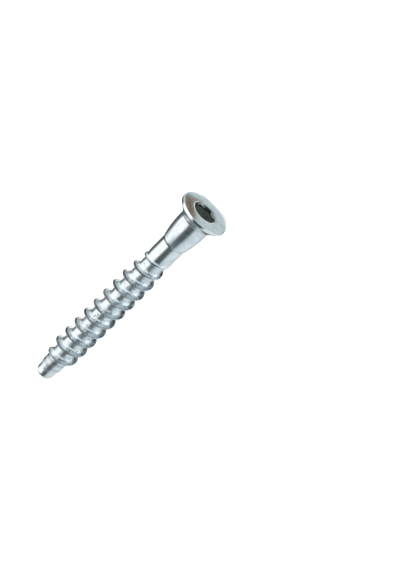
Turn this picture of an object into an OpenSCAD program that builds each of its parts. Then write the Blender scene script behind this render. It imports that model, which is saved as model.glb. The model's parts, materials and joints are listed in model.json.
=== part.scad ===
// One piece furniture connector screw: countersunk head with a hex socket, collar that narrows
// to a plain shank, coarse right-hand thread and blunt dog point. It lies on its side, as it
// comes to rest, with the head towards +X. Lengths are in millimetres.
// Depths are measured along the axis, from the face of the head towards the point.

/* [Head] */
// Length of the screw from the face of the head to the end of the point
screw_l = 50; // [46:0.5:70]
// Diameter of the head
head_d = 10; // [8.5:0.1:12]
// Height of the straight rim of the head
rim_h = 0.65; // [0.35:0.05:0.9]
// Half angle of the cone under the head, in degrees
cone_angle = 45; // [40:1:55]
// Radius that rounds the edge of the face
face_edge_r = 0.15; // [0.05:0.05:0.3]

/* [Hex socket] */
// Width of the socket across its flats
socket_af = 4; // [3:0.1:4.3]
// Depth of the flats
socket_depth = 3.5; // [2.5:0.1:4.5]
// Width of the cone at the mouth, beyond the corners on each side
mouth_lip = 0.15; // [0.05:0.05:0.25]
// Depth of the cone in the floor
floor_depth = 0.8; // [0.4:0.1:1.2]
// Turn of the corners about the axis, in degrees
socket_turn = 10; // [0:1:59]

/* [Collar and shank] */
// Diameter of the collar under the head
collar_d = 6.25; // [6.2:0.05:7]
// Depth where the collar starts to narrow
collar_depth = 3.7; // [3.3:0.1:5]
// Radius of the curve that narrows the collar
ogive_r = 21; // [14:0.5:26]
// Height of the small shoulder where the curve ends above the shank
shoulder_h = 0.1; // [0.05:0.05:0.2]
// Diameter of the plain shank
shank_d = 4.8; // [4.6:0.05:5.2]
// Depth where the plain shank ends
shank_depth = 14; // [13.2:0.1:14.6]

/* [Thread] */
// Diameter over the crests
thread_d = 6.3; // [5.8:0.1:6.6]
// Diameter of the core between the turns
core_d = 4.1; // [4:0.05:4.3]
// Distance from one turn to the next
pitch = 3; // [2.6:0.1:3.4]
// Width of the crest
crest_w = 0.3; // [0.25:0.05:0.5]
// Length of the hollow flank that faces the head, along the axis
head_flank = 0.95; // [0.6:0.05:1.1]
// Length of the flank that faces the point, along the axis
point_flank = 0.4; // [0.3:0.05:0.6]
// Depth where the thread starts inside the shank
thread_start = 12.6; // [12.4:0.1:13]
// Depth where the thread has its full height
thread_full = 20; // [17:0.5:24]
// Length over which the thread sinks to the core before the point
thread_fall = 3.7; // [3:0.1:5]

/* [Point] */
// Diameter of the dog point
point_d = 3.6; // [3.4:0.05:3.85]
// Length of the dog point
point_l = 3.2; // [2.5:0.1:5]
// Depth over which the core narrows into the point
neck_l = 1.6; // [0.8:0.1:1.6]
// Radius that rounds the end of the point
point_r = 0.9; // [0.3:0.05:1.2]

/* [Hidden] */

zinc = "#c5ced3";
// Facets in each turn of the thread; one of them faces straight down
turn_steps = 32;
arc_steps = 8;
// Reach of one stretch into the next
bury = 0.4;
// Reach of a cutter past what it cuts
over = 1;
// Overlap of a cone with what it runs into
lap = 0.1;
// Flat ring of the socket's floor, between the flats and the cone
floor_ring = 0.15;
// Depth of the shoulder and of the shank's lower end, for each millimetre that they narrow
shoulder_slope = 2;
shank_slope = 0.6;
// Height of the thread above the shank where it starts
start_h = 0.15;
// Bare core between the last of the thread and the point
bare_core = 0.25;
// Bare core beside the last turn
turn_edge = 0.1;
// Power of the curve that hollows the flank, and its straight stretches
hollow = 3;
flank_steps = 3;
// Height of the crest's edges, as a share of its full height
crest_edge = 0.9;
$fn = 96;

head_r = head_d / 2;
collar_r = collar_d / 2;
shank_r = shank_d / 2;
thread_r = thread_d / 2;
core_r = core_d / 2;
dog_r = point_d / 2;
corner_r = socket_af / 2 / cos(30);
mouth_r = corner_r + mouth_lip;
core_end = screw_l - point_l;
thread_end = core_end - crest_w / 2 - point_flank - bare_core;
full_end = thread_end - thread_fall;
step = 360 / turn_steps;

// The cone under the head ends at the collar, the shank's lower end inside the core, and the
// curve turns by this angle down to the shoulder.
cone_end = rim_h + (head_r - collar_r) / tan(cone_angle);
shank_end = shank_depth + shank_slope * (shank_r - core_r + bury);
ogive_turn = acos(1 - (collar_r - shank_r - shoulder_h) / ogive_r);
shoulder_end = collar_depth + ogive_r * sin(ogive_turn) + shoulder_slope * shoulder_h;

// The screw rests on the rim of its head and on its last full crest, so its axis leans by this.
rest_r = thread_r * cos(step / 2);
lean = atan((head_r - rest_r) / (full_end + crest_w / 3 - rim_h));

// Lengths of the resting screw along X, to centre it on the origin.
face_reach = (head_r - face_edge_r) * sin(lean) + face_edge_r * (1 - cos(lean));
point_reach = screw_l * cos(lean) + (dog_r - point_r) * sin(lean);

// Points [radius, depth] along an arc about a centre, from one angle to another.
function arc(centre, r, from, to) =
    [for (i = [0 : arc_steps])
        let (a = from + (to - from) * i / arc_steps)
        centre + r * [cos(a), sin(a)]];

// Half outlines [radius, depth] of the two turned ends.
function head_outline() = concat(
    [[0, 0]],
    arc([head_r - face_edge_r, face_edge_r], face_edge_r, -90, 0),
    [[head_r, rim_h], [collar_r, cone_end]],
    arc([collar_r - ogive_r, collar_depth], ogive_r, 0, ogive_turn),
    [[shank_r, shoulder_end], [shank_r, shank_depth]],
    [[core_r - bury, shank_end], [0, shank_end]]
);

function point_outline() = concat(
    [[0, core_end - bury], [dog_r, core_end - bury]],
    arc([dog_r - point_r, screw_l - point_r], point_r, 0, 90),
    [[0, screw_l]]
);

// Height of the crest above the core: it starts within a third of a turn, grows to its full
// height, and sinks again before the point.
function crest_h(depth) =
    let (
        full = thread_r - core_r,
        stub = shank_r - core_r + start_h,
        grown = thread_start + pitch / 3
    )
    depth <= thread_start || depth >= thread_end ? 0
    : depth < grown ? stub * (depth - thread_start) / (grown - thread_start)
    : depth < thread_full ? stub + (full - stub) * (depth - grown) / (thread_full - grown)
    : depth < full_end ? full
    : full * cos(90 * (depth - full_end) / thread_fall);

// Outline of one turn of the thread as [offset along the axis, share of the crest's height].
turn_outline = [
    [-pitch / 2, 0],
    for (i = [0 : flank_steps]) let (up = i / flank_steps)
        [-crest_w / 2 - (1 - up) * head_flank, crest_edge * pow(up, hollow)],
    [-crest_w / 6, 1],
    [crest_w / 3, 1],
    [crest_w / 2, crest_edge],
    [crest_w / 2 + point_flank, 0]
];

module head_end() {
    rotate_extrude() polygon(head_outline());
}

module dog_point() {
    rotate_extrude() polygon(point_outline());
}

// Core and thread in one, swept turn by turn. Both of its ends lie inside the turned ends.
module threaded_core() {
    rise = pitch / turn_steps;
    first = floor((thread_start - full_end) / rise);
    last = ceil(thread_fall / rise) + 1;
    count = last - first + 1;
    w = len(turn_outline);
    top = full_end + (first - 0.5) * rise - pitch / 2 - bury;
    foot = crest_w / 2 + point_flank + turn_edge;

    function turned(i) = 180 + (first + i - 0.5) * step;
    function centre(i) = full_end + (first + i - 0.5) * rise;
    function at(r, i, depth) = [r * cos(turned(i)), r * sin(turned(i)), depth];
    // Vertex of section i at place j of the outline; place w is the next turn's place 0.
    function id(i, j) = j < w ? i * w + j
        : i + turn_steps < count ? (i + turn_steps) * w
        : edge + i + turn_steps - count;

    // Rings of vertices after the sections: the last turn's edge, and the ends' rings.
    around = [0 : turn_steps - 1];
    edge = count * w;
    upper = edge + turn_steps;
    lower = upper + turn_steps;
    tail = lower + turn_steps;
    after = count - turn_steps;
    points = concat(
        [for (i = [0 : count - 1], p = turn_outline)
            at(core_r + p[1] * crest_h(centre(i)), i, centre(i) + p[0])],
        [for (k = around) at(core_r, after + k, centre(after + k) + foot)],
        [for (k = around) at(core_r, k, top)],
        [for (k = around) at(core_r, after + k, core_end)],
        [for (k = around) at(dog_r - lap, after + k, core_end + neck_l)]
    );

    function quad(a, b, c, d) = [[a, b, c], [c, b, d]];
    sweep = [for (i = [0 : count - 2], j = [0 : w - 1])
        each quad(id(i, j), id(i, j + 1), id(i + 1, j), id(i + 1, j + 1))];
    walls = [for (k = [0 : turn_steps - 2])
        each concat(quad(upper + k, id(k, 0), upper + k + 1, id(k + 1, 0)),
            quad(edge + k, lower + k, edge + k + 1, lower + k + 1))];
    neck = [for (k = around) let (n = (k + 1) % turn_steps)
        each quad(lower + k, tail + k, lower + n, tail + n)];
    // The last strip of wall beside the first and the last section.
    seams = [
        concat([id(turn_steps - 1, 0)], [for (j = [w : -1 : 0]) id(0, j)],
            [upper, upper + turn_steps - 1]),
        concat([edge], [for (j = [0 : w]) id(count - 1, j)],
            [lower + turn_steps - 1, lower])
    ];
    ends = [[for (k = around) upper + k], [for (k = around) tail + turn_steps - 1 - k]];
    polyhedron(points, concat(sweep, walls, neck, seams, ends));
}

module socket() {
    rotate(socket_turn)
        translate([0, 0, -over])
        cylinder(h = socket_depth + over, r = corner_r, $fn = 6);
    translate([0, 0, -over])
        cylinder(h = mouth_r + over, r1 = mouth_r + over, r2 = 0);
    translate([0, 0, socket_depth - lap])
        cylinder(h = floor_depth + lap, r1 = socket_af / 2 - floor_ring, r2 = 0);
}

module connector_screw() {
    color(zinc)
    translate([(point_reach - face_reach) / 2, 0, head_r * cos(lean) + rim_h * sin(lean)])
    rotate([0, -90 - lean, 0])
    difference() {
        union() {
            head_end();
            threaded_core();
            dog_point();
        }
        socket();
    }
}

connector_screw();
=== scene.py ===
"""Looks of a one piece furniture connector screw that lies at rest, in bright zinc-plated steel."""
import json
import math
import bpy
from mathutils import Matrix, Vector


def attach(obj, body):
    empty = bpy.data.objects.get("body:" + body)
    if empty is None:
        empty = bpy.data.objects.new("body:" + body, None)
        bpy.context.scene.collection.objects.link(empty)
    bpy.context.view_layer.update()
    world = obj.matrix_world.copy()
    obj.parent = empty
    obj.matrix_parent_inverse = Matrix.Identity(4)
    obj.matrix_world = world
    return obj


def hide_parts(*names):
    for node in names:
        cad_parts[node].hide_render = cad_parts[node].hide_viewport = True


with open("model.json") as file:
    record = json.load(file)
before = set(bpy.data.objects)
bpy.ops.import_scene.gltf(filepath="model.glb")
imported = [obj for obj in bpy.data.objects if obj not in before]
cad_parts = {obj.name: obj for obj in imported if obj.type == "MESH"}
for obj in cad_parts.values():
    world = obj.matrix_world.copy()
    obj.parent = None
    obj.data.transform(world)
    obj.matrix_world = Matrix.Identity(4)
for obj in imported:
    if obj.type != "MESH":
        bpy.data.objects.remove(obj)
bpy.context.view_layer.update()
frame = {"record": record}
mounts = {mount["name"]: mount for mount in frame["record"]["mounts"]}

# Where the screw lies: the middle of its face, the way out of the head, and its local axes
FACE = Vector(mounts["hex_drive"]["pos_m"])
OUT = Vector(mounts["hex_drive"]["axis"]).normalized()
SIDE = Vector((0, 1, 0))
LIE = Matrix((SIDE.cross(-OUT), SIDE, -OUT)).transposed()

# Sizes in millimetres; depths run along the axis from the face of the head towards the point
MM = 0.001
SCREW_L = 50
HEAD_R = 5
RIM_H = 0.65
FACE_START = 0.26
FACE_EDGE_R = 0.1
FACE_EDGE_TURN = 86
CROWN = 0.05
SOCKET_AF = 4
SOCKET_DEPTH = 3.5
SOCKET_FLOOR = 0.8
SOCKET_LEDGE = 0.15
SOCKET_TURN = 10
MOUTH_LIP = 0.15
LIP_R = 0.45
LIP_OUT = 0.186
LIP_FROM, LIP_TO = 225, 270
COLLAR_R = 3.125
COLLAR_DEPTH = 3.7
OGIVE_R = 21
SHOULDER_H = 0.1
SHOULDER_L = 0.2
SHANK_R = 2.4
CORE_R = 2.05
CORE_FALL_START = 0.6
CORE_FALL = 1.6
PITCH = 3
THREAD_R = 3.15
THREAD_START = 12.6
THREAD_STUB = 0.15
THREAD_FULL = 20
THREAD_FALL = 3.7
THREAD_GAP = 0.25
CREST_W = 0.3
HEAD_FLANK = 0.95
POINT_FLANK = 0.4
ROOT_LOOP = 0.2
DOG_R = 1.8
DOG_L = 3.2
DOG_END_R = 0.9
END_LOOP = 0.1
NECK_L = 1.8
NECK_LEAD = 0.1

# Softened corners, as steps outwards and along the axis from the sharp corner
RIM_CORNER = ((0, -0.1), (0, -0.03), (-0.02, 0.02), (-0.1, 0.1))
COLLAR_CORNER = ((0.2, -0.2), (0.06, -0.06), (0.01, 0.04), (0, 0.12))
SHOULDER_FOOT = ((0.015, -0.03), (0, 0.03), (0, 0.2))

# Form of the thread: where its rounded crest starts, as a share of its height, how hollow its two
# flanks are, and the height in millimetres from which it counts as fully risen
CREST_FOOT = 0.93
HEAD_HOLLOW = 3
POINT_HOLLOW = 1.2
RISE_H = 0.2

HALF_SIDE = math.radians(30)
CORE_END = SCREW_L - DOG_L
NECK_TOP = CORE_END - NECK_LEAD
THREAD_END = CORE_END - CREST_W / 2 - POINT_FLANK - THREAD_GAP
THREAD_GROWN = THREAD_START + PITCH / 3
FULL_END = THREAD_END - THREAD_FALL
CORNER_R = SOCKET_AF / 2 / math.cos(HALF_SIDE)
MOUTH_R = CORNER_R + MOUTH_LIP
CONE_END = RIM_H + HEAD_R - COLLAR_R
OGIVE_TURN = math.acos(1 - (COLLAR_R - SHANK_R - SHOULDER_H) / OGIVE_R)
OGIVE_END = COLLAR_DEPTH + OGIVE_R * math.sin(OGIVE_TURN)
SHOULDER_END = OGIVE_END + SHOULDER_L

# The swept thread lies between these depths, and the turned ends go on from there
SWEEP_TOP = 11.2
SWEEP_BOTTOM = NECK_TOP - NECK_LEAD

# Steps round the axis and along the outlines
ROUND_STEPS = 96
LIP_STEPS = 6
FACE_STEPS = 8
EDGE_STEPS = 6
OGIVE_STEPS = 14
NECK_STEPS = 7
END_STEPS = 10
FLANK_STEPS = 8
CREST_STEPS = 6
POINT_STEPS = 6

# Distances at which points are merged or count as the same, and the angle that still looks smooth
MERGE = 0.0005
JOIN = 0.002
SLIVER = 0.0002
TINY = 0.001
SMOOTH_ANGLE = 28


def edge_chain(name, points):
    """A chain of edges through (radius, depth) points, drawn by extruding one vertex."""
    bpy.ops.object.select_all(action="DESELECT")
    bpy.ops.mesh.primitive_plane_add(size=1)
    chain = bpy.context.object
    chain.name = name
    bpy.ops.object.mode_set(mode="EDIT")
    bpy.ops.mesh.select_all(action="SELECT")
    bpy.ops.mesh.merge(type="CENTER")
    bpy.ops.transform.translate(value=(points[0][0], 0, points[0][1]))
    for near, far in zip(points, points[1:]):
        move = {"value": (far[0] - near[0], 0, far[1] - near[1])}
        bpy.ops.mesh.extrude_vertices_move(TRANSFORM_OT_translate=move)
    bpy.ops.object.mode_set(mode="OBJECT")
    return chain


def eased(share):
    """A share from 0 to 1 that starts and ends softly."""
    return share * share * (3 - 2 * share)


def arc(centre, radius, start, end, steps):
    """Points (radius, depth) along an arc, with its angles in degrees from outwards to the point."""
    angles = [math.radians(start + (end - start) * i / steps) for i in range(steps + 1)]
    return [(centre[0] + radius * math.cos(a), centre[1] + radius * math.sin(a)) for a in angles]


def softened(radius, depth, steps):
    """Points of a softened corner, from its steps away from the sharp one."""
    return [(radius + outwards, depth + along) for outwards, along in steps]


def turned(name, outline):
    """A half outline spun once round the axis."""
    piece = edge_chain(name, outline)
    bpy.ops.object.mode_set(mode="EDIT")
    bpy.ops.mesh.select_all(action="SELECT")
    bpy.ops.mesh.spin(steps=ROUND_STEPS, angle=math.tau, center=(0, 0, 0), axis=(0, 0, 1))
    bpy.ops.mesh.select_all(action="SELECT")
    bpy.ops.mesh.remove_doubles(threshold=MERGE)
    bpy.ops.object.mode_set(mode="OBJECT")
    return piece


def head_end():
    """Hex socket, face, rim, cone, collar and the upper part of the shank."""
    outline = [(0, SOCKET_DEPTH + SOCKET_FLOOR), (SOCKET_AF / 2 - SOCKET_LEDGE, SOCKET_DEPTH)]
    outline += [(CORNER_R, SOCKET_DEPTH), (CORNER_R, MOUTH_LIP)]
    outline += arc((MOUTH_R + LIP_OUT, LIP_R), LIP_R, LIP_FROM, LIP_TO, LIP_STEPS)
    inner, outer = MOUTH_R + FACE_START, HEAD_R - FACE_EDGE_R
    for i in range(FACE_STEPS):
        share = i / FACE_STEPS
        outline.append((inner + (outer - inner) * share, CROWN * share ** 2))
    outline += arc((outer, FACE_EDGE_R + CROWN), FACE_EDGE_R, -FACE_EDGE_TURN, 0, EDGE_STEPS)
    outline += softened(HEAD_R, RIM_H, RIM_CORNER)
    outline += softened(COLLAR_R, CONE_END, COLLAR_CORNER)
    outline += arc((COLLAR_R - OGIVE_R, COLLAR_DEPTH), OGIVE_R, 0, math.degrees(OGIVE_TURN), OGIVE_STEPS)
    outline += softened(SHANK_R, SHOULDER_END, SHOULDER_FOOT)
    outline.append((SHANK_R, SWEEP_TOP))
    piece = turned("head_end", outline)
    press_hexagon(piece)
    return piece


def press_hexagon(piece):
    """Moves the round wall of the socket in to a hexagon, with the cone at its mouth."""
    for vertex in piece.data.vertices:
        x, y, depth = vertex.co
        if abs(math.hypot(x, y) - CORNER_R) > TINY:
            continue
        angle = math.atan2(y, x)
        from_corner = (angle + HALF_SIDE) % (2 * HALF_SIDE) - HALF_SIDE
        wall = SOCKET_AF / 2 / math.cos(abs(from_corner) - HALF_SIDE)
        if depth < SOCKET_DEPTH / 2:
            depth = MOUTH_R - wall
        vertex.co = (wall * math.cos(angle), wall * math.sin(angle), depth)


def dog_point():
    """Neck under the thread's core, and the blunt point with its rounded end."""
    outline = [(CORE_R, SWEEP_BOTTOM)]
    for i in range(1, NECK_STEPS + 1):
        share = i / NECK_STEPS
        outline.append((CORE_R + (DOG_R - CORE_R) * eased(share), NECK_TOP + NECK_L * share))
    outline += arc((DOG_R - DOG_END_R, SCREW_L - DOG_END_R), DOG_END_R, 0, 90, END_STEPS)
    outline += [(DOG_R - DOG_END_R - END_LOOP, SCREW_L), (0, SCREW_L)]
    return turned("dog_point", outline)


def thread_section():
    """One turn of the thread as (offset along the axis, share of its height), root to root."""
    crest = CREST_W / 2
    foot, heel = -crest - HEAD_FLANK, crest + POINT_FLANK
    section = [(-PITCH / 2, 0), ((foot - PITCH / 2) / 2, 0)]
    for i in range(FLANK_STEPS + 1):
        share = i / FLANK_STEPS
        section.append((foot + HEAD_FLANK * share, CREST_FOOT * share ** HEAD_HOLLOW))
    for i in range(1, CREST_STEPS):
        angle = math.pi * (1 - i / CREST_STEPS)
        section.append((crest * math.cos(angle), CREST_FOOT + (1 - CREST_FOOT) * math.sin(angle)))
    for i in range(POINT_STEPS + 1):
        share = i / POINT_STEPS
        section.append((crest + POINT_FLANK * share, CREST_FOOT * (1 - share) ** POINT_HOLLOW))
    section += [(heel + ROOT_LOOP, 0), ((heel + PITCH / 2 + ROOT_LOOP) / 2, 0), (PITCH / 2, 0)]
    return section


def crest_radius(depth):
    """Radius over the crest at a depth: it leaves the shank, grows, runs full and sinks again."""
    stub = SHANK_R + THREAD_STUB
    if depth <= THREAD_START:
        return SHANK_R
    if depth < THREAD_GROWN:
        return SHANK_R + (stub - SHANK_R) * (depth - THREAD_START) / (THREAD_GROWN - THREAD_START)
    if depth < THREAD_FULL:
        return stub + (THREAD_R - stub) * (depth - THREAD_GROWN) / (THREAD_FULL - THREAD_GROWN)
    if depth < FULL_END:
        return THREAD_R
    fallen = min(1, (depth - FULL_END) / THREAD_FALL)
    return CORE_R + (THREAD_R - CORE_R) * math.cos(fallen * math.pi / 2)


def root_radius(depth):
    """Radius of the root at a depth: the shank narrows to the core in the first turn."""
    sunk = min(1, max(0, (depth - THREAD_START - CORE_FALL_START) / CORE_FALL))
    return SHANK_R + (CORE_R - SHANK_R) * eased(sunk)


def crest_depth(angle):
    """Depth of a crest at an angle round the axis, before the socket is turned to its place."""
    return FULL_END + PITCH * (angle + math.radians(SOCKET_TURN) - math.pi) / math.tau


def rolled_thread():
    """The core and its thread: one section swept up the axis, with its run-outs at both ends."""
    first = crest_depth(0)
    first -= PITCH * math.ceil((first + PITCH / 2 - SWEEP_TOP) / PITCH)
    turns = math.ceil((SWEEP_BOTTOM - first - PITCH / 2) / PITCH) + 1
    points = [(CORE_R + share * (THREAD_R - CORE_R), first + along) for along, share in thread_section()]
    thread = edge_chain("rolled_thread", points)
    sweep = thread.modifiers.new("sweep", "SCREW")
    sweep.axis = "Z"
    sweep.steps = sweep.render_steps = ROUND_STEPS
    sweep.screw_offset = PITCH
    sweep.iterations = turns
    sweep.use_merge_vertices = True
    sweep.merge_threshold = MERGE
    bpy.ops.object.modifier_apply(modifier=sweep.name)
    run_out(thread)
    flatten_end(thread, SWEEP_TOP, -1)
    flatten_end(thread, SWEEP_BOTTOM, 1)
    return thread


def run_out(thread):
    """Gives each turn its own height, and keeps the share that it has risen for the plating."""
    rise = thread.data.attributes.new("thread_rise", "FLOAT", "POINT")
    for vertex in thread.data.vertices:
        x, y, depth = vertex.co
        angle = math.atan2(y, x)
        share = (math.hypot(x, y) - CORE_R) / (THREAD_R - CORE_R)
        crest = crest_depth(angle)
        crest += PITCH * round((depth - crest) / PITCH)
        root = root_radius(depth)
        full = max(root, root + share * (crest_radius(crest) - root))
        rise.data[vertex.index].value = share * min(1, (full - root) / (RISE_H * share + TINY))
        vertex.co = (full * math.cos(angle), full * math.sin(angle), depth)


def flatten_end(piece, depth, side):
    """Presses all that lies beyond a depth flat onto it, which leaves one clean ring there."""
    bpy.ops.object.mode_set(mode="EDIT")
    bpy.ops.mesh.select_mode(type="VERT")
    bpy.ops.mesh.select_all(action="DESELECT")
    bpy.ops.object.mode_set(mode="OBJECT")
    for vertex in piece.data.vertices:
        vertex.select = (vertex.co.z - depth) * side > 0
    bpy.ops.object.mode_set(mode="EDIT")
    bpy.ops.transform.resize(value=(1, 1, 0), center_override=(0, 0, depth))
    bpy.ops.mesh.remove_doubles(threshold=MERGE)
    bpy.ops.mesh.select_all(action="SELECT")
    bpy.ops.mesh.dissolve_degenerate(threshold=SLIVER)
    bpy.ops.object.mode_set(mode="OBJECT")


def connector_screw():
    """The whole screw as one closed skin, laid where the frame has it."""
    parts = [rolled_thread(), head_end(), dog_point()]
    bpy.ops.object.select_all(action="DESELECT")
    for part in parts:
        part.select_set(True)
    bpy.context.view_layer.objects.active = parts[0]
    bpy.ops.object.join()
    screw = bpy.context.object
    screw.name = "plated_screw"
    bpy.ops.object.mode_set(mode="EDIT")
    bpy.ops.mesh.select_all(action="SELECT")
    bpy.ops.mesh.remove_doubles(threshold=JOIN)
    bpy.ops.mesh.normals_make_consistent(inside=False)
    bpy.ops.object.mode_set(mode="OBJECT")
    turn = Matrix.Rotation(math.radians(SOCKET_TURN), 4, "Z")
    screw.matrix_world = Matrix.Translation(FACE) @ LIE.to_4x4() @ turn @ Matrix.Scale(MM, 4)
    bpy.ops.object.transform_apply(location=True, rotation=True, scale=True)
    bpy.ops.object.shade_smooth_by_angle(angle=math.radians(SMOOTH_ANGLE))
    return screw


def add_node(tree, kind, inputs, **settings):
    """A node with its settings, and with its inputs linked or set."""
    made = tree.nodes.new(kind)
    for name, value in settings.items():
        setattr(made, name, value)
    for name, value in inputs.items():
        if isinstance(value, bpy.types.NodeSocket):
            tree.links.new(value, made.inputs[name])
        else:
            made.inputs[name].default_value = value
    return made


def calc(tree, operation, first, second=0.0, third=0.0):
    """The result of one operation on up to three numbers."""
    return add_node(tree, "ShaderNodeMath", {0: first, 1: second, 2: third}, operation=operation).outputs[0]


def off(tree, value, place):
    """How far a value is from a place, either way."""
    return calc(tree, "ABSOLUTE", calc(tree, "SUBTRACT", value, place))


def between(tree, value, start, end, low=0.0, high=1.0):
    """A smooth step from low to high while the value goes from start to end."""
    inputs = {"Value": value, "From Min": start, "From Max": end, "To Min": low, "To Max": high}
    return add_node(tree, "ShaderNodeMapRange", inputs, interpolation_type="SMOOTHSTEP").outputs[0]


def within(tree, *limits):
    """The product of smooth steps, each given as between takes it."""
    share = between(tree, *limits[0])
    for limit in limits[1:]:
        share = calc(tree, "MULTIPLY", share, between(tree, *limit))
    return share


def blended(tree, share, under, over):
    """One colour over another, by a share; the upper one may be plain red, green and blue."""
    if isinstance(over, tuple):
        over = (*over, 1)
    return add_node(tree, "ShaderNodeMix", {0: share, 6: under, 7: over}, data_type="RGBA").outputs[2]


def ramp(tree, value, stops):
    """Colours along a value, as (place, (red, green, blue)) in rising order."""
    made = add_node(tree, "ShaderNodeValToRGB", {"Fac": value})
    elements = made.color_ramp.elements
    elements.remove(elements[1])
    elements[0].position = stops[0][0]
    elements[0].color = (*stops[0][1], 1)
    for place, colour in stops[1:]:
        elements.new(place).color = (*colour, 1)
    made.color_ramp.interpolation = "EASE"
    return made.outputs["Color"]


def speckle(tree, where, scale, detail, roughness=0.5):
    """Soft noise, with its scale per millimetre."""
    inputs = {"Vector": where, "Scale": scale, "Detail": detail, "Roughness": roughness}
    return add_node(tree, "ShaderNodeTexNoise", inputs).outputs[0]


# Colours of the plating, and how much of the weaker ones shows
CLOUDY_ZINC = [(0.3, (0.66, 0.72, 0.75)), (0.7, (0.84, 0.88, 0.89))]
THREAD_ZINC = (0.74, 0.83, 0.86)
THREAD_SHARE = 0.4
# Dull marks on the point, and painted shadow in a ring just under the last tooth
DULL_AND_SHADOW_ZINC = (0.36, 0.4, 0.43)
# Painted dark reflection: a line where the collar's ogive meets the shank, on the left side
CREASE_REFLECTION_GREY = (0.12, 0.145, 0.155)
# Painted shade: dark blotches in the thread's roots
ROOT_SHADE_GREY = (0.2, 0.24, 0.26)
ROOT_SHADE_SHARE = 0.7
# Painted shade: a dark line along the thread's crests, darker and wider on the left side
CREST_SHADE_GREY = (0.06, 0.075, 0.085)
# Painted shade inside the hex socket
SOCKET_SHADE_GREY = (0.47, 0.52, 0.48)
SOCKET_SHADE_SHARE = 0.85
# Painted shade round the socket's mouth, weaker on the left side
MOUTH_SHADE_GREY = (0.12, 0.14, 0.13)

# Noise in the plating, as scale, detail and sometimes roughness
CLOUD_NOISE = (0.55, 4)
MOTTLE_NOISE = (1.7, 5, 0.6)
WAVE_NOISE = (0.8, 2)
GRAIN_NOISE = (9, 3)
DENT_NOISE = (2.2, 2)

# Smooth steps that bound the zones: start, end and, where it isn't 0 to 1, what they go from and to.
# Those called left run across the axis, to the left as the camera sees the screw; with them the painted
# shade and reflections are stronger or weaker on that side.
THREAD_IN = (THREAD_START, THREAD_START + PITCH)
THREAD_OUT = (CORE_END + 0.5, CORE_END - 1)
ROOT_BAND = (CORE_R + 0.7, CORE_R + 0.05)
SOCKET_WALL = (MOUTH_R + 0.05, MOUTH_R - 0.2)
SOCKET_TOP = (0.05, 0.3)
SOCKET_END = (5.2, 4.6)
MOUTH_WALL = (MOUTH_R + 0.02, MOUTH_R - 0.06)
MOUTH_TOP = (0.04, 0.12)
MOUTH_END = (0.7, 0.45)
MOUTH_SHADE_LEFT = (1.0, 2.2, 0.92, 0.3)
FACE_BAND = (0.8, 0.65)
CREASE = OGIVE_END + SHOULDER_L / 2
CREASE_BAND = (0.26, 0.1)
CREASE_REFLECTION_LEFT = (-0.5, 0.6, 0.12, 0.92)
ROOT_SHADE_BAND = (0.56, 0.66)
CREST_BAND = (0.78, 0.92)
CREST_CLOUD = (0.3, 0.7, 0.95, 0.6)
CREST_SHADE_LEFT = (-1.0, 1.5, 0.55, 1)
CREST_SHADE_WIDE_LEFT = (1.0, 2.2, 0, 0.12)
UPPER_MARK = CORE_END - 1.6
UPPER_BAND = (0.6, 0.1, 0, 0.65)
TOOTH_SHADOW_DEPTH = CORE_END - 0.2
TOOTH_SHADOW_BAND = (0.6, 0.05, 0, 0.5)
END_DULL = (SCREW_L - 0.4, SCREW_L - 0.1, 0, 0.45)
END_MATT = (SCREW_L - 0.7, SCREW_L - 0.3, 0, 0.34)

# Roughness of the plating, and the height of its waves, grain and dents
ZINC_ROUGH = (0.3, 0.7, 0.13, 0.24)
ROLLED_ROUGH = (0.05, 0.5, 0.13, 0.02)
SOCKET_ROUGH = 0.25
FACE_ROUGH = (0, 1, 1, 0.38)
WAVE_H = (0, 1, 0.3, 1.9)
DENT_H = (0, 1, 0.05, 0.9)
FACE_CALM = (0, 1, 1, 0.25)
GRAIN_H = 0.06
BUMP_STRENGTH = 0.5
BUMP_H = 0.12


def plating_zones(tree):
    """Where on the screw a point lies, as places, masks and noise that the plating's parts share."""
    place = add_node(tree, "ShaderNodeTexCoord", {}).outputs["Object"]
    pose = {"Vector": place, "Location": FACE, "Rotation": LIE.to_euler(), "Scale": (MM, MM, MM)}
    local = add_node(tree, "ShaderNodeMapping", pose, vector_type="TEXTURE").outputs[0]
    across = add_node(tree, "ShaderNodeVectorMath", {0: local, 1: (1, 1, 0)}, operation="MULTIPLY")
    length = add_node(tree, "ShaderNodeVectorMath", {0: across.outputs[0]}, operation="LENGTH")
    radius = length.outputs["Value"]
    parts = add_node(tree, "ShaderNodeSeparateXYZ", {0: local}).outputs
    depth = parts["Z"]
    threaded = within(tree, (depth, *THREAD_IN), (depth, *THREAD_OUT))
    rise = add_node(tree, "ShaderNodeAttribute", {}, attribute_name="thread_rise")
    return {
        "local": local,
        "radius": radius,
        "left": parts["Y"],
        "depth": depth,
        "threaded": threaded,
        "root": calc(tree, "MULTIPLY", threaded, between(tree, radius, *ROOT_BAND)),
        "inside": within(tree, (radius, *SOCKET_WALL), (depth, *SOCKET_TOP), (depth, *SOCKET_END)),
        "face": between(tree, depth, *FACE_BAND),
        "risen": rise.outputs["Fac"],
        "cloud": speckle(tree, local, *CLOUD_NOISE),
        "mottle": speckle(tree, local, *MOTTLE_NOISE)}


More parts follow.
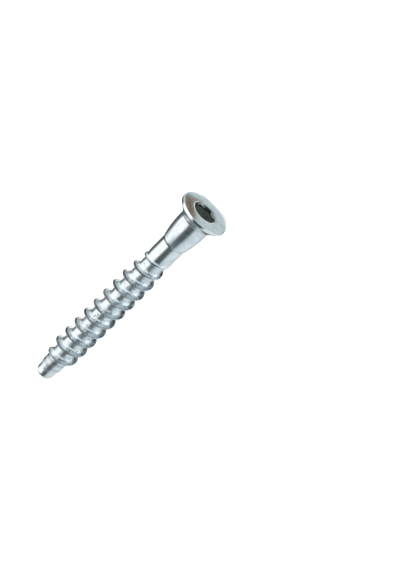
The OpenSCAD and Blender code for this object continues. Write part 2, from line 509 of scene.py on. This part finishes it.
def plating_colour(tree, zone):
    """Bluish white zinc, dull marks on the point with painted shadow under the last tooth, and painted
    shade and dark reflections: a crease line, blotches in the roots, lines on the crests, the socket and
    its mouth.
    """
    left, depth, radius = zone["left"], zone["depth"], zone["radius"]
    upper = between(tree, off(tree, depth, UPPER_MARK), *UPPER_BAND)
    # painted shadow in a ring just under the last tooth
    tooth_shadow = between(tree, off(tree, depth, TOOTH_SHADOW_DEPTH), *TOOTH_SHADOW_BAND)
    dull_and_shadow = calc(tree, "ADD", upper, tooth_shadow)
    dull_and_shadow = calc(tree, "ADD", dull_and_shadow, between(tree, depth, *END_DULL))
    # painted dark reflection at the crease, on the left side
    crease_reflection = within(tree, (off(tree, depth, CREASE), *CREASE_BAND), (left, *CREASE_REFLECTION_LEFT))
    # painted shade in blotches along the roots
    root_shade = calc(tree, "MULTIPLY", zone["root"], between(tree, zone["mottle"], *ROOT_SHADE_BAND))
    edge = calc(tree, "ADD", zone["risen"], between(tree, left, *CREST_SHADE_WIDE_LEFT))
    # painted shade along the crests, wider and darker on the left side
    crest = within(tree, (edge, *CREST_BAND), (zone["cloud"], *CREST_CLOUD), (left, *CREST_SHADE_LEFT))
    # painted shade round the socket's mouth, weaker on the left side
    mouth = within(
        tree, (depth, *MOUTH_TOP), (depth, *MOUTH_END), (radius, *MOUTH_WALL), (left, *MOUTH_SHADE_LEFT))

    colour = ramp(tree, zone["cloud"], CLOUDY_ZINC)
    colour = blended(tree, calc(tree, "MULTIPLY", zone["threaded"], THREAD_SHARE), colour, THREAD_ZINC)
    colour = blended(tree, dull_and_shadow, colour, DULL_AND_SHADOW_ZINC)
    colour = blended(tree, crease_reflection, colour, CREASE_REFLECTION_GREY)
    colour = blended(tree, calc(tree, "MULTIPLY", root_shade, ROOT_SHADE_SHARE), colour, ROOT_SHADE_GREY)
    colour = blended(tree, crest, colour, CREST_SHADE_GREY)
    # painted shade inside the socket
    colour = blended(tree, calc(tree, "MULTIPLY", zone["inside"], SOCKET_SHADE_SHARE), colour, SOCKET_SHADE_GREY)
    return blended(tree, mouth, colour, MOUTH_SHADE_GREY)


def plating_roughness(tree, zone):
    """Glossy, with duller clouds, roots and socket, a smooth face and a matt end."""
    rolled = calc(tree, "MULTIPLY", zone["threaded"], between(tree, zone["risen"], *ROLLED_ROUGH))
    rough = calc(tree, "ADD", between(tree, zone["mottle"], *ZINC_ROUGH), rolled)
    rough = calc(tree, "ADD", rough, calc(tree, "MULTIPLY", zone["inside"], SOCKET_ROUGH))
    rough = calc(tree, "MULTIPLY", rough, between(tree, zone["face"], *FACE_ROUGH))
    return calc(tree, "ADD", rough, between(tree, zone["depth"], *END_MATT))


def plating_relief(tree, zone):
    """Waves, grain and dents, strong on the thread and weak on the face."""
    local, threaded = zone["local"], zone["threaded"]
    wave = calc(tree, "MULTIPLY", speckle(tree, local, *WAVE_NOISE), between(tree, threaded, *WAVE_H))
    grain = calc(tree, "MULTIPLY", speckle(tree, local, *GRAIN_NOISE), GRAIN_H)
    dent = calc(tree, "MULTIPLY", speckle(tree, local, *DENT_NOISE), between(tree, threaded, *DENT_H))
    height = calc(tree, "ADD", calc(tree, "ADD", wave, grain), dent)
    height = calc(tree, "MULTIPLY", height, between(tree, zone["face"], *FACE_CALM))
    bump = {"Height": height, "Strength": BUMP_STRENGTH, "Distance": BUMP_H * MM}
    return add_node(tree, "ShaderNodeBump", bump).outputs[0]


def bright_zinc():
    """Bright zinc plating over the whole screw, with painted shade and reflections in its colour."""
    zinc = bpy.data.materials.new("bright_zinc")
    zinc.use_nodes = True
    tree = zinc.node_tree
    shader = tree.nodes["Principled BSDF"]
    shader.inputs["Metallic"].default_value = 1
    zone = plating_zones(tree)
    tree.links.new(plating_colour(tree, zone), shader.inputs["Base Color"])
    tree.links.new(plating_roughness(tree, zone), shader.inputs["Roughness"])
    tree.links.new(plating_relief(tree, zone), shader.inputs["Normal"])
    return zinc


# Camera of the photograph, whose frame is 400 by 570 pixels; angles in degrees, distance in metres
PHOTO_W, PHOTO_H = 400, 570
MIDDLE_PX = (120.9, 296.1)
AXIS_TURN = 44.77
AXIS_LEAN = 30.6
DISTANCE = 0.290
FOCAL_PX = 1533
SENSOR_W = 36
CLIP_NEAR, CLIP_FAR = 0.01, 20


def photo_camera():
    """A camera that looks down on the middle of the screw and has it where the photograph has it."""
    middle = FACE - OUT * SCREW_L / 2 * MM
    lean = math.radians(AXIS_LEAN)
    back = OUT * math.sin(lean) + OUT.cross(SIDE) * math.cos(lean)
    along = (OUT - back * OUT.dot(back)).normalized()
    across = back.cross(along)
    turn = math.radians(AXIS_TURN)
    right = along * math.cos(turn) - across * math.sin(turn)
    over = along * math.sin(turn) + across * math.cos(turn)
    axes = Matrix((right, over, back)).transposed()
    aside = (PHOTO_W / 2 - MIDDLE_PX[0]) / FOCAL_PX
    above = (MIDDLE_PX[1] - PHOTO_H / 2) / FOCAL_PX
    swing = Matrix.Rotation(-math.atan(aside), 3, "Y") @ Matrix.Rotation(math.atan(above), 3, "X")
    data = bpy.data.cameras.new("photo_camera")
    camera = bpy.data.objects.new("photo_camera", data)
    bpy.context.collection.objects.link(camera)
    camera.matrix_world = Matrix.Translation(middle + back * DISTANCE) @ (axes @ swing).to_4x4()
    data.sensor_width = SENSOR_W
    data.lens = FOCAL_PX * SENSOR_W / PHOTO_H
    data.clip_start = CLIP_NEAR
    data.clip_end = CLIP_FAR
    bpy.context.scene.camera = camera


# Floor and lamp, in metres and watts
FLOOR_SIZE = 6
FLOOR_WHITE = (0.93, 0.93, 0.93, 1)
LAMP_Y, LAMP_Z = 0.3, 2.0
LAMP_SIZE = 1.7
LAMP_POWER = 49


def pale_floor():
    """A plain matt floor, which the metal doesn't mirror."""
    bpy.ops.object.select_all(action="DESELECT")
    bpy.ops.mesh.primitive_plane_add(size=FLOOR_SIZE, location=(0, 0, 0))
    floor = bpy.context.object
    floor.name = "pale_floor"
    paper = bpy.data.materials.new("pale_floor")
    paper.use_nodes = True
    paint = paper.node_tree.nodes["Principled BSDF"]
    paint.inputs["Base Color"].default_value = FLOOR_WHITE
    paint.inputs["Roughness"].default_value = 1
    paint.inputs["Specular IOR Level"].default_value = 0
    floor.data.materials.append(paper)
    floor.visible_glossy = False


def softbox():
    """A wide lamp above, aimed at the screw, which the metal doesn't mirror."""
    bpy.ops.object.light_add(type="AREA", location=(0, LAMP_Y, LAMP_Z))
    lamp = bpy.context.object
    lamp.name = "softbox"
    lamp.data.size = LAMP_SIZE
    lamp.data.energy = LAMP_POWER
    lamp.visible_glossy = False
    lamp.rotation_euler = (-math.atan2(LAMP_Y, LAMP_Z), 0, 0)


# What the metal mirrors, by degrees round the X axis from straight up towards +Y
WHITE = (1.0, 1.0, 1.0)
PALE = (0.55, 0.60, 0.63)
PALER = (0.62, 0.67, 0.7)
SLATE = (0.06, 0.075, 0.075)
DARK = (0.09, 0.1, 0.1)
TEAL = (0.28, 0.34, 0.37)
SHADE = (0.035, 0.045, 0.05)
FACE_GREY = (0.47, 0.53, 0.54)
POINT_DARK = (0.13, 0.15, 0.16)
POINT_GREY = (0.18, 0.2, 0.215)
WALLS = [
    (-180, DARK), (-165, DARK), (-145, PALE), (-85, PALER), (-54, PALE), (-27, SLATE), (7, SLATE),
    (27, WHITE), (92, WHITE), (114, DARK), (180, DARK)]
FRONT = [
    (-180, FACE_GREY), (-170, FACE_GREY), (-163, SHADE), (-136, SHADE), (-121, TEAL),
    (-106, (0.85, 0.9, 0.92)), (-92, WHITE), (-75, WHITE), (-52, (0.58, 0.64, 0.67)),
    (-35, (0.52, 0.59, 0.62)), (0, (0.66, 0.72, 0.74)), (50, WHITE), (95, WHITE),
    (118, (0.72, 0.77, 0.79)), (138, (0.42, 0.48, 0.51)), (158, (0.2, 0.23, 0.24)),
    (172, FACE_GREY), (180, FACE_GREY)]

# A card low in front of the head, brown on one side, by its place across
CARD = [
    (0.5, FACE_GREY), (0.59, (0.21, 0.135, 0.095)), (0.67, (0.17, 0.105, 0.072)),
    (0.78, (0.17, 0.155, 0.135)), (0.92, (0.19, 0.19, 0.185)), (1.0, FACE_GREY)]
CARD_SPREAD = 7
RAMP_MIDDLE = 0.5

# Smooth steps that bound the patches of the room, along the X, Y or Z of the way that is mirrored
FRONT_X = (-0.3, 0.05)
AHEAD_X = (0.75, 0.95)
LIP_X = (0.68, 0.82)
LIP_Z = (0.25, 0.42)
CARD_X = (0.461, 0.478)
CARD_Z = (-0.65, -0.75)
UNDER_FRONT_X = (0.4, 0.3)
UNDER_BACK_X = (-0.4, -0.1)
UNDER_Z = (-0.8, -0.92)
UNDER_SIDES = (0.35, 0.15)
POINT_X = (-0.55, -0.78, 0, 0.55)
POINT_FAR_X = (-0.74, -0.92)
POINT_MIDDLE = 0.05
POINT_SIDES = (0.62, 0.18)
END_X = (-0.56, -0.64)
END_LOW_Z = (-0.5, -0.4)
END_HIGH_Z = (0, -0.12)
END_Y = (0.45, 0.6)

MIRRORED_LIGHT = 1.3
ROOM_LIGHT = 1.0
ROOM_WHITE = (1, 1, 1, 1)


def turn_at(stops):
    """Stops with their degrees, from -180 to 180, made places along a ramp."""
    return [((degrees + 180) / 360, colour) for degrees, colour in stops]


def mirrored_room(tree):
    """Walls along the screw and round the front, with patches ahead, below and behind the point."""
    way = add_node(tree, "ShaderNodeTexCoord", {}).outputs["Generated"]
    parts = add_node(tree, "ShaderNodeSeparateXYZ", {0: way}).outputs
    x, y, z = parts["X"], parts["Y"], parts["Z"]
    turn = calc(tree, "MULTIPLY_ADD", calc(tree, "ARCTAN2", y, z), 1 / math.tau, RAMP_MIDDLE)
    front = ramp(tree, turn, turn_at(FRONT))
    card = ramp(tree, calc(tree, "MULTIPLY_ADD", y, CARD_SPREAD, RAMP_MIDDLE), CARD)
    under_sides = (calc(tree, "ABSOLUTE", y), *UNDER_SIDES)
    point_sides = (off(tree, y, POINT_MIDDLE), *POINT_SIDES)
    patches = [
        (front, [(x, *FRONT_X)]),
        (TEAL, [(x, *AHEAD_X)]),
        (DARK, [(x, *LIP_X), (z, *LIP_Z)]),
        (card, [(x, *CARD_X), (z, *CARD_Z)]),
        (WHITE, [(x, *UNDER_FRONT_X), (x, *UNDER_BACK_X), (z, *UNDER_Z), under_sides]),
        (POINT_DARK, [(x, *POINT_X), point_sides]),
        (POINT_GREY, [(x, *POINT_FAR_X), point_sides]),
        (PALE, [(x, *END_X), (z, *END_LOW_Z), (z, *END_HIGH_Z), (y, *END_Y)])]
    seen = ramp(tree, turn, turn_at(WALLS))
    for colour, limits in patches:
        seen = blended(tree, within(tree, *limits), seen, colour)
    return seen


def studio():
    """Soft white light all round, and for the metal a room of white, pale and dark walls."""
    world = bpy.data.worlds.new("studio")
    bpy.context.scene.world = world
    world.use_nodes = True
    tree = world.node_tree
    room = {"Color": mirrored_room(tree), "Strength": MIRRORED_LIGHT}
    mirrored = add_node(tree, "ShaderNodeBackground", room).outputs[0]
    fill = tree.nodes["Background"]
    fill.inputs["Color"].default_value = ROOM_WHITE
    fill.inputs["Strength"].default_value = ROOM_LIGHT
    glossy = add_node(tree, "ShaderNodeLightPath", {}).outputs["Is Glossy Ray"]
    shown = add_node(tree, "ShaderNodeMixShader", {0: glossy, 1: fill.outputs[0], 2: mirrored}).outputs[0]
    tree.links.new(shown, tree.nodes["World Output"].inputs["Surface"])
    bpy.context.scene.view_settings.view_transform = "Standard"


screw = connector_screw()
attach(screw, "root")
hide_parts("connector_screw")
screw.data.materials.clear()
screw.data.materials.append(bright_zinc())

photo_camera()
pale_floor()
softbox()
studio()
